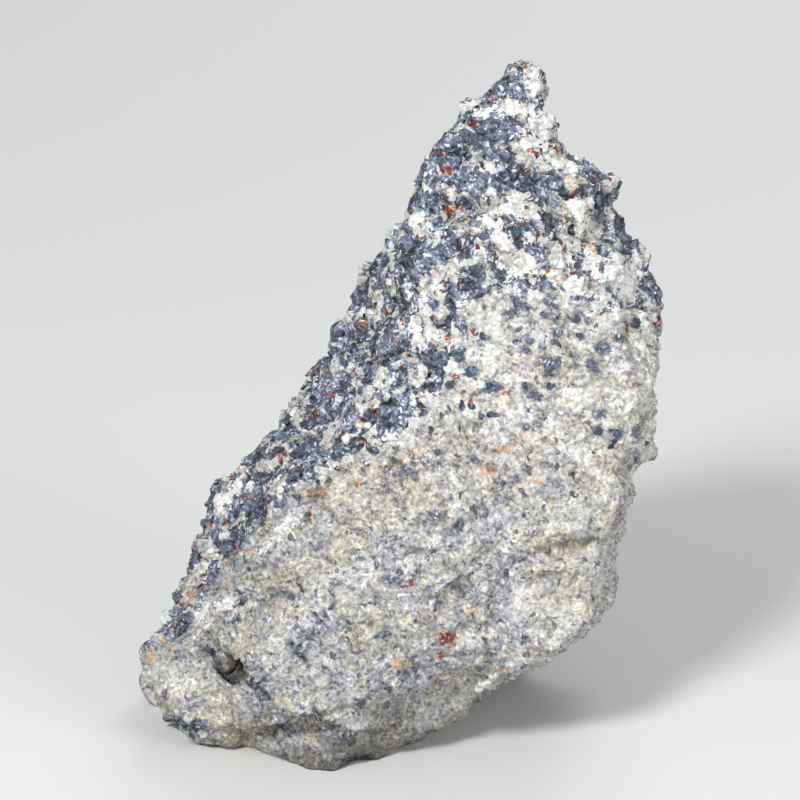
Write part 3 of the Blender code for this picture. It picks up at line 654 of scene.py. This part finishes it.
class OrePaint(Sheet):
    """The look of the skin in one shader tree: its kinds of rock, its patches and its facets."""

    def __init__(self, tree):
        super().__init__(tree)
        place = self.attribute("place", "Vector")
        self.grains = grain_pattern(self, place, self.attribute("lean"))
        self.drift, self.warmth, self.density = self.grains["drift"]
        self.ragged = self.grains["ragged"]
        self.mottle = self.ripple(place, 0.55, 3.0, 0.7)
        self.blotch = self.ripple(place, 2.6, 3.0, 0.6)
        # Each grain has three random values, the second of which is its tone
        randoms = {size: self.parts(self.grains[size]["colour"]) for size in GRAIN_SIZES}
        self.chance = {size: values[0] for size, values in randoms.items()}
        self.tone = {size: values[1] for size, values in randoms.items()}
        self.other = {size: values[2] for size, values in randoms.items()}
        # Painted shade darkens the crevices between the medium grains of the coarse rock
        self.crevice_shade = self.step(0.5, 0.8, self.grains["medium"]["distance"], 0.0, -0.3)
        # A few of the finest grains are flecks
        self.fleck = self.step(0.86, 0.9, self.chance["fine"])
        pale_tone = self.shade(0.6, 1.3, coarse=0.22, medium=0.22, small=0.1, fine=0.24)
        self.pale_tone = self.add(pale_tone, self.times(self.crevice_shade, 0.7), self.times(self.blotch, 0.3))
        fine_tone = self.shade(0.5, 1.4, medium=0.16, small=0.2, fine=0.3)
        self.fine_tone = self.add(fine_tone, self.times(self.blotch, 0.8))
        self.near_middle = self.step(-6.0, -0.5, self.attribute("middle"))
        middle_border = self.add(self.attribute("middle"), self.times(self.ragged, 10.0))
        self.middle_here = self.step(-0.6, 0.6, middle_border)
        coarse_border = self.add(self.attribute("coarse"), self.times(self.ragged, 8.0))
        self.coarse_here = self.step(-0.15, 0.15, coarse_border)
        self.willemite_here = self.step(0.58, 0.64, self.grains["pale_share"])
        self.franklinite = self.franklinite_colour()
        self.willemite = self.willemite_colour()
        zincite_tone = self.shade(0.45, 2.6, small=0.5, fine=0.6)
        self.zincite = self.ramp(zincite_tone, ZINCITE)
        blue_tone = self.shade(0.45, 2.2, small=0.4, fine=0.55)
        self.blue = self.ramp(blue_tone, BLUE_GRAIN)
        self.rust = self.ramp(self.fine_tone, RUST)
        self.fine_rock = self.fine_rock_colour()

    def attribute(self, name, output="Fac"):
        return self.node("ShaderNodeAttribute", attribute_name=name).outputs[output]

    def shade(self, middle, mottling, **weights):
        """A tone around the middle, which the grains of each size vary by their weight."""
        total = middle - sum(0.5 * weight for weight in weights.values())
        for size, weight in weights.items():
            total = self.add(self.times(self.tone[size], weight), total)
        # The shade field lifts or lowers the tone: partly the stone's own tone, partly painted light and
        # shade
        return self.add(total, self.times(self.mottle, mottling), self.attribute("shade"))

    def franklinite_colour(self):
        dark_tone = self.shade(0.5, 1.7, coarse=0.3, medium=0.35, small=0.18, fine=0.34)
        dark_tone = self.add(dark_tone, self.crevice_shade, self.times(self.fleck, 0.4))
        return self.ramp(dark_tone, FRANKLINITE)

    def willemite_colour(self):
        pale = self.ramp(self.add(self.pale_tone, self.times(self.fleck, -0.3)), WILLEMITE)
        greenish = self.ramp(self.pale_tone, GREEN_WILLEMITE)
        return self.mix_colour(self.step(-0.02, 0.12, self.warmth, 0.0, 0.6), pale, greenish)

    def fine_rock_colour(self):
        """Fine rock: grey, drifting to cream and to blue-grey, with dark grains and a few pinkish ones."""
        colour = self.ramp(self.add(self.fine_tone, self.times(self.drift, 0.5)), FINE_ROCK)
        ragged = self.times(self.ragged, 0.4)
        warm = self.add(self.warmth, self.times(self.blotch, 0.9), ragged)
        warm_here = self.step(-0.04, 0.16, warm, 0.0, 0.65)
        colour = self.mix_colour(warm_here, colour, self.ramp(self.fine_tone, CREAM_ROCK))
        cool = self.add(self.density, self.times(self.blotch, -0.9), ragged)
        cool_here = self.step(0.0, 0.16, cool, 0.0, 0.6)
        colour = self.mix_colour(cool_here, colour, self.ramp(self.fine_tone, COOL_ROCK))
        dark_chance = self.add(self.chance["small"], self.times(self.ragged, 0.5))
        dark_chance = self.add(dark_chance, self.times(self.density, 0.5), self.times(self.near_middle, 0.1))
        colour = self.mix_colour(self.step(0.9, 0.96, dark_chance, 0.0, 0.85), colour, self.franklinite)
        pinkish = self.times(self.step(0.7, 0.8, self.other["small"]), self.near_middle)
        return self.mix_colour(self.times(pinkish, 0.3), colour, self.rust)

    def coarse_rock_colour(self):
        """Coarse rock: franklinite, with willemite between it, tan grains and zincite here and there."""
        tan_here = self.step(0.82, 0.84, self.other["coarse"])
        lighter = self.mix_colour(tan_here, self.willemite, self.fine_rock)
        colour = self.mix_colour(self.willemite_here, self.franklinite, lighter)
        zincite_chance = self.add(self.other["small"], self.times(self.ragged, 0.35))
        return self.mix_colour(self.step(0.97, 0.99, zincite_chance), colour, self.zincite)

    def middle_rock_colour(self):
        """Middle rock: pale and fine, with round dark grains."""
        cream = self.ramp(self.add(self.fine_tone, 0.08), CREAM_ROCK)
        cream = self.mix_colour(0.15, self.fine_rock, cream)
        cream_here = self.step(-0.12, 0.12, self.add(self.ragged, self.times(self.drift, 0.6)))
        colour = self.mix_colour(cream_here, self.willemite, cream)
        inside_grain = self.step(0.40, 0.46, self.grains["medium"]["distance"], 1.0, 0.0)
        blue_chance = self.add(self.other["medium"], self.times(self.density, 0.8))
        scattered = self.times(inside_grain, self.math("LESS_THAN", blue_chance, 0.1))
        return self.mix_colour(scattered, colour, self.blue)

    def patched(self, colour, name, paint, strength=1.0, soft=0.15):
        """The colour with one kind of patch over it, whose outline is ragged."""
        ragged = self.add(self.attribute(name), self.times(self.ragged, 2.6))
        edge = self.add(ragged, self.times(self.mottle, 2.4), self.blotch)
        return self.mix_colour(self.step(0.0, soft, edge, 0.0, strength), colour, paint)

    def colour(self):
        """The skin's colour, patches included, with painted shade underneath and in cracks and hollows."""
        colour = self.mix_colour(self.middle_here, self.fine_rock, self.middle_rock_colour())
        colour = self.mix_colour(self.coarse_here, colour, self.coarse_rock_colour())
        # Dark patches: franklinite, and painted shade at the lower left foot, pit and cracks
        colour = self.patched(colour, "dark", self.franklinite)
        colour = self.patched(colour, "pale", self.ramp(self.add(self.pale_tone, 0.06), WILLEMITE))
        colour = self.patched(colour, "blue", self.blue, 0.8, 0.4)
        colour = self.patched(colour, "rust", self.rust, 0.75, 0.7)
        colour = self.patched(colour, "red", self.zincite, 0.88, 0.3)
        # Painted shade darkens the underside
        colour = self.mix_colour(self.attribute("low"), colour, UNDERSIDE_SHADE, "MULTIPLY")
        # Painted shade darkens the cracks and hollows
        shaded_hollow = self.step(-1.6, -0.3, self.attribute("rise"), 0.8, 0.0)
        return self.mix_colour(shaded_hollow, colour, HOLLOW_SHADE, "MULTIPLY")

    def normal(self):
        """The skin's normal, turned a little in each grain."""
        tilts = [self.scaled(self.centred(self.grains[size]["colour"]), TILTS[size]) for size in TILTS]
        tilt = self.vector("ADD", self.vector("ADD", tilts[0], tilts[1]), tilts[2])
        pale_here = self.times(self.willemite_here, self.coarse_here)
        tilt = self.scaled(tilt, self.mix(pale_here, 1.0, WILLEMITE_TILT))
        normal = self.node("ShaderNodeNewGeometry").outputs["Normal"]
        normal = self.vector("NORMALIZE", self.vector("ADD", normal, tilt))
        return self.bumped(self.mottle, Normal=normal)


def ore_material():
    material = bpy.data.materials.new("ore")
    material.use_nodes = True
    tree = material.node_tree
    tree.nodes.clear()
    paint = OrePaint(tree)
    roughness = paint.step(0.0, 1.0, paint.other["fine"], *ROUGHNESS)
    inputs = {"Base Color": paint.colour(), "Roughness": roughness, "Normal": paint.normal()}
    shader = paint.node("ShaderNodeBsdfPrincipled", inputs)
    paint.node("ShaderNodeOutputMaterial", {"Surface": shader.outputs[0]})
    return material


# Loose-looking grains: whole crystals that stand out of the skin

GRAIN_SHAPES = 24

# No franklinite stands out of the smooth knob at the top, above this height up the view in mm
KNOB_UP = 93
# Crystals stand above the coarse rock's edge by this, or behind this depth, in mm
CRYSTAL_EDGE = 0.5
CRYSTAL_DEPTH = 17
# No crystal stands lower than this over the ground, in mm
CRYSTAL_GROUND = 1.0
# Crystals keep away from other kinds of patch: this share of a patch's size beyond its outline
CLEARANCE = 0.3
# Each kind of crystal: places tried, least distance between two in mm, radius in mm, how deep the middle is
# sunk as a share of the radius, and tone
CRYSTALS = {
    "franklinite": (4200, 2.0, (0.9, 1.65), 0.87, (0.2, 0.7)),
    "willemite": (2500, 2.2, (0.9, 1.5), 0.9, (0.45, 0.75)),
    "zincite": (450, 2.2, (0.3, 0.65), 0.4, (0.15, 0.7)),
}
# Franklinite stands where the rock tends to willemite by less than the first share, and willemite where by
# more than the second. Zincite stands where they meet, within this of that share
DARK_SHARE = 0.56
PALE_SHARE = 0.66
MEETING_SHARE = 0.6
MEETING_WIDTH = 0.08
# The tones of a crystal's faces differ by this at most, either way
FACE_SPREAD = 0.12
# Corners of a crystal's shape before its hull is taken, and how much flatter it may be on each axis
SHARP = (12, 0.35)
BLUNT = (22, 0.3)
FLAT = (16, 0.55)
# Round grains: size as a share of their mark, how deep they are sunk as a share of their radius, and tone
ROUND_GROWTH = 1.2
ROUND_SINK = 0.5
ROUND_TONES = (0.35, 0.75)
# The eye's rays start this far in front of the display side's zero, in mm
RAY_START = -60


def crystal_shapes(generator, corners, flatness):
    """Unit convex lumps with flat faces: a list of (points, faces)."""
    shapes = []
    for _ in range(GRAIN_SHAPES):
        points = generator.normal(size=(corners, 3))
        points /= np.linalg.norm(points, axis=1)[:, None]
        points *= 1 - flatness * generator.random((1, 3))
        mesh = bmesh.new()
        for point in points:
            mesh.verts.new(point)
        bmesh.ops.convex_hull(mesh, input=mesh.verts)
        inside = [vert for vert in mesh.verts if not vert.link_faces]
        bmesh.ops.delete(mesh, geom=inside, context="VERTS")
        mesh.verts.index_update()
        shapes.append((np.array([vert.co for vert in mesh.verts]),
                       np.array([[vert.index for vert in face.verts] for face in mesh.faces])))
        mesh.free()
    return shapes


def turned(points, generator):
    """The points turned by a random rotation."""
    turn, _ = np.linalg.qr(generator.normal(size=(3, 3)))
    turn[:, 0] *= np.sign(np.linalg.det(turn))
    return points @ turn


def grain_object(name, seats, shapes, material, generator):
    """One joined mesh of crystals. A seat is (middle in m, radius in mm, tone)."""
    points, faces, tones, count = [], [], [], 0
    for middle, radius, value in seats:
        corners, triangles = shapes[generator.integers(len(shapes))]
        placed = turned(corners, generator) * radius * MM + middle
        placed[:, 2] = np.maximum(placed[:, 2], 0)
        points.append(placed)
        faces.append(triangles + count)
        tones.append(value + generator.uniform(-FACE_SPREAD, FACE_SPREAD, len(triangles)))
        count += len(corners)
    mesh = bpy.data.meshes.new(name)
    mesh.from_pydata(np.concatenate(points), [], np.concatenate(faces))
    store(mesh, "tone", np.concatenate(tones), "FACE")
    mesh.materials.append(material)
    return new_object(name, mesh)


def grain_material(name, stops, roughness, size=0.5):
    """A crystal's material, mottled by noise of this size in mm."""
    material = bpy.data.materials.new(name)
    material.use_nodes = True
    tree = material.node_tree
    sheet = Sheet(tree)
    place = sheet.scaled(sheet.node("ShaderNodeNewGeometry").outputs["Position"], 1 / MM)
    value = sheet.node("ShaderNodeAttribute", attribute_name="tone").outputs["Fac"]
    mottle = sheet.ripple(place, size, 3.0, 0.7)
    shader = tree.nodes["Principled BSDF"]
    sheet.put(shader.inputs["Base Color"], sheet.ramp(sheet.add(value, sheet.times(mottle, 1.6)), stops))
    sheet.put(shader.inputs["Roughness"], roughness)
    sheet.put(shader.inputs["Normal"], sheet.bumped(mottle))
    return material


def scattered_places(skin, generator, tried, spacing, weight):
    """Random triangles of the skin, at least this far apart in mm: (middle, normal) each."""
    mesh = skin.data
    middles, normals = np.empty((2, len(mesh.polygons), 3))
    areas = np.empty(len(mesh.polygons))
    mesh.polygons.foreach_get("center", middles.ravel())
    mesh.polygons.foreach_get("normal", normals.ravel())
    mesh.polygons.foreach_get("area", areas)
    corners = np.empty(len(mesh.polygons) * 3, np.int32)
    mesh.loops.foreach_get("vertex_index", corners)
    shares = np.empty(len(mesh.vertices), np.float32)
    mesh.attributes["pale_share"].data.foreach_get("value", shares)
    share = areas * weight(to_display(middles), shares[corners.reshape(-1, 3)].mean(1))
    share[middles[:, 2] < CRYSTAL_GROUND * MM] = 0
    # A taken cell of the grid holds the last place taken in it
    taken, places = {}, []
    around = [(x, y, z) for x in (-1, 0, 1) for y in (-1, 0, 1) for z in (-1, 0, 1)]
    for pick in generator.choice(len(share), size=tried, p=share / share.sum()):
        key = np.floor(middles[pick] / (spacing * MM)).astype(int)
        near = [taken[cell] for cell in (tuple(key + step) for step in around) if cell in taken]
        if all(np.linalg.norm(middles[other] - middles[pick]) > spacing * MM for other in near):
            taken[tuple(key)] = pick
            places.append((middles[pick], normals[pick]))
    return places


def crystal_seats(skin, generator, kind, weight):
    """Seats for one kind of crystal, at random where the weight lets them stand."""
    tried, spacing, radii, depth, tones = CRYSTALS[kind]
    seats = []
    for middle, normal in scattered_places(skin, generator, tried, spacing, weight):
        radius = generator.uniform(*radii)
        seats.append((middle - normal * radius * depth * MM, radius, generator.uniform(*tones)))
    return seats


def round_seats(skin, generator):
    """Seats for the round grains, where the eye meets the skin at their marks."""
    surface = BVHTree.FromObject(skin, bpy.context.evaluated_depsgraph_get())
    eye = Vector(display_axes()[2])
    seats = []
    for across, up, radius in ROUND_GRAINS:
        place, normal, _, _ = surface.ray_cast(Vector(to_frame((across, up, RAY_START))), eye)
        if place is not None:
            radius *= ROUND_GROWTH
            middle = np.array(place - normal * radius * ROUND_SINK * MM)
            seats.append((middle, radius, generator.uniform(*ROUND_TONES)))
    return seats


def coarse_at(display):
    """Where the crystals of the coarse rock may stand."""
    above = height_over(COARSE_EDGE, display) > CRYSTAL_EDGE
    return above | (display[:, 2] > CRYSTAL_DEPTH + TIP_REACH * pale_tip(display))


def clear_of(display, patches):
    return ellipse_field(display, patches) < -CLEARANCE


def franklinite_weight(display, pale_share):
    clear = clear_of(display, PALE_PATCHES + RED_PATCHES + RUST_PATCHES)
    return coarse_at(display) * clear * (pale_share < DARK_SHARE) * (display[:, 1] < KNOB_UP)


def willemite_weight(display, pale_share):
    return coarse_at(display) * clear_of(display, DARK_PATCHES + RED_PATCHES) * (pale_share > PALE_SHARE)


def zincite_weight(display, pale_share):
    return coarse_at(display) * (np.abs(pale_share - MEETING_SHARE) < MEETING_WIDTH)


def add_grains(skin):
    """Crystals over the coarse rock, and round grains in the middle rock."""
    generator = np.random.default_rng(SEED)
    sharp, blunt, flat = (crystal_shapes(generator, *shape) for shape in (SHARP, BLUNT, FLAT))
    dark_seats = crystal_seats(skin, generator, "franklinite", franklinite_weight)
    blue_seats = round_seats(skin, generator)
    pale_seats = crystal_seats(skin, generator, "willemite", willemite_weight)
    red_seats = crystal_seats(skin, generator, "zincite", zincite_weight)
    blue = grain_material("blue_franklinite", BLUE_GRAIN, 0.3, 0.8)
    rows = [
        ("franklinite_grains", dark_seats, sharp, grain_material("franklinite", FRANKLINITE, 0.3)),
        ("round_grains", blue_seats, blunt, blue),
        ("willemite_grains", pale_seats, flat, grain_material("willemite", WILLEMITE, 0.5)),
        ("zincite_grains", red_seats, sharp, grain_material("zincite", ZINCITE, 0.35)),
    ]
    return [grain_object(*row, generator) for row in rows]


# Studio

FLOOR_REACH = 3.0


def floor():
    mesh = bpy.data.meshes.new("floor")
    corners = [(x * FLOOR_REACH, y * FLOOR_REACH, 0) for x, y in ((-1, -1), (1, -1), (1, 1), (-1, 1))]
    mesh.from_pydata(corners, [], [(0, 1, 2, 3)])
    item = new_object("floor", mesh)
    material = bpy.data.materials.new("floor")
    material.use_nodes = True
    shader = material.node_tree.nodes["Principled BSDF"]
    shader.inputs["Base Color"].default_value = (0.62, 0.62, 0.61, 1)
    shader.inputs["Roughness"].default_value = 0.8
    mesh.materials.append(material)


def soft_light(name, place, width, power, aim):
    data = bpy.data.lights.new(name, "AREA")
    data.shape = "DISK"
    data.size = width
    data.energy = power
    item = bpy.data.objects.new(name, data)
    bpy.context.scene.collection.objects.link(item)
    item.location = place
    item.rotation_mode = "QUATERNION"
    item.rotation_quaternion = (Vector(aim) - Vector(place)).to_track_quat("-Z", "Y")


def studio():
    world = bpy.data.worlds.new("studio")
    world.use_nodes = True
    background = world.node_tree.nodes["Background"]
    background.inputs["Color"].default_value = (0.92, 0.95, 1.0, 1)
    background.inputs["Strength"].default_value = 0.4
    bpy.context.scene.world = world
    aim = (0, 0, 0.045)
    soft_light("key", (-0.30, -0.55, 0.60), 0.22, 6.5, aim)
    soft_light("fill", (0.6, -0.5, 0.35), 0.4, 2.5, aim)
    soft_light("back", (0.2, 0.7, 0.6), 0.5, 3.0, aim)


def display_camera():
    data = bpy.data.cameras.new("camera")
    data.sensor_width = SENSOR_WIDTH
    data.lens = SENSOR_WIDTH * CAMERA_DISTANCE / PICTURE_WIDTH
    camera = bpy.data.objects.new("camera", data)
    bpy.context.scene.collection.objects.link(camera)
    forward = Vector(display_axes()[2])
    aim = Vector(to_frame((0, VIEW_MIDDLE_UP, 0)))
    camera.location = aim - forward * CAMERA_DISTANCE * MM
    camera.rotation_mode = "QUATERNION"
    camera.rotation_quaternion = forward.to_track_quat("-Z", "Y")
    bpy.context.scene.camera = camera


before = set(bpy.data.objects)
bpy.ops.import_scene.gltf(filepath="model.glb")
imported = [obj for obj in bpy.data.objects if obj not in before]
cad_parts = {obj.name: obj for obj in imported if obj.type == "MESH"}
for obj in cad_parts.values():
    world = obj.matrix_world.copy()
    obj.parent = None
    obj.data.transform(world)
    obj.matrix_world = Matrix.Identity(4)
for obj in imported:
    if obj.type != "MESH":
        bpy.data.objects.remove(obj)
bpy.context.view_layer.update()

skin = ore_skin(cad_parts["ore_lump"])
for piece in [skin] + add_grains(skin):
    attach(piece, "root")
    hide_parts("ore_lump")

floor()
studio()
display_camera()
bpy.context.scene.view_settings.view_transform = "Standard"
